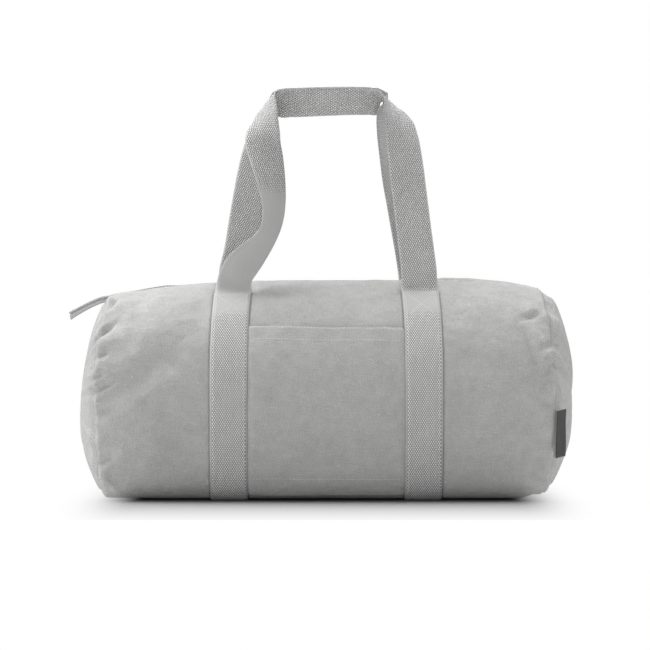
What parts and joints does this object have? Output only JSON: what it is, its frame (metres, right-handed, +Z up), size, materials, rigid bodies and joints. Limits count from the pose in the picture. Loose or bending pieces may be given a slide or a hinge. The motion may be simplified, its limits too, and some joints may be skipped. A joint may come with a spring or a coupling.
{
  "type": "duffel bag",
  "caption": "Barrel duffel bag in washed canvas with webbing straps, two swinging carry handles, a top zip and a flat front pocket.",
  "frame": {"origin": "under the middle of the bag, on the surface that it stands on", "axes": "+X to the bag's right end, +Y to its back, +Z up"},
  "size_m": [0.5408, 0.2562, 0.4476],
  "materials": {
    "canvas": "washed cotton canvas, matte",
    "webbing": "woven cotton webbing, matte",
    "zip_tape": "woven tape, matte",
    "binding": "bias binding, matte",
    "thread": "spun thread, matte",
    "label": "woven satin label, bare",
    "zip_coil": "nylon coil",
    "zip_metal": "satin nickel"
  },
  "bodies": {
    "bag": {"barrel_panel": "canvas", "left_end_panel": "canvas", "right_end_panel": "canvas", "front_pocket": "canvas", "pocket_hem": "canvas", "left_seam_binding": "binding", "right_seam_binding": "binding", "left_body_strap": "webbing", "right_body_strap": "webbing", "front_zip_tape": "zip_tape", "back_zip_tape": "zip_tape", "front_zip_coil": "zip_coil", "back_zip_coil": "zip_coil", "left_strap_stitching": "thread", "right_strap_stitching": "thread", "front_box_stitching": "thread", "back_box_stitching": "thread", "zip_stitching": "thread", "pocket_stitching": "thread"},
    "front_handle": {"front_handle": "webbing"},
    "back_handle": {"back_handle": "webbing"},
    "zip_slider": {"zip_slider": "zip_metal"},
    "zip_puller": {"zip_puller": "zip_metal"},
    "zip_tail": {"zip_tail": "zip_tape"},
    "side_label": {"side_label": "label"}
  },
  "joints": [
    {"name": "front_handle_swing", "type": "hinge", "parent": "bag", "child": "front_handle", "pos_m": [0, -0.062, 0.22225], "axis": [1, 0, 0], "range_deg": [0, 110]},
    {"name": "back_handle_swing", "type": "hinge", "parent": "bag", "child": "back_handle", "pos_m": [0, 0.062, 0.22225], "axis": [-1, 0, 0], "range_deg": [0, 110]},
    {"name": "zip_slider_travel", "type": "slide", "parent": "bag", "child": "zip_slider", "axis": [-1, 0, 0], "range_m": [0, 0.323]},
    {"name": "zip_puller_flip", "type": "hinge", "parent": "zip_slider", "child": "zip_puller", "pos_m": [0.158, 0, 0.23223], "axis": [0, 1, 0], "range_deg": [0, 170]},
    {"name": "zip_tail_lift", "type": "hinge", "parent": "bag", "child": "zip_tail", "pos_m": [-0.2402, 0, 0.21106], "axis": [0, 1, 0], "range_deg": [0, 70]},
    {"name": "side_label_fold", "type": "hinge", "parent": "bag", "child": "side_label", "pos_m": [0.2407, -0.10681, 0.04517], "axis": [0, 0.2824, -0.9593], "range_deg": [-12, 150]}
  ]
}
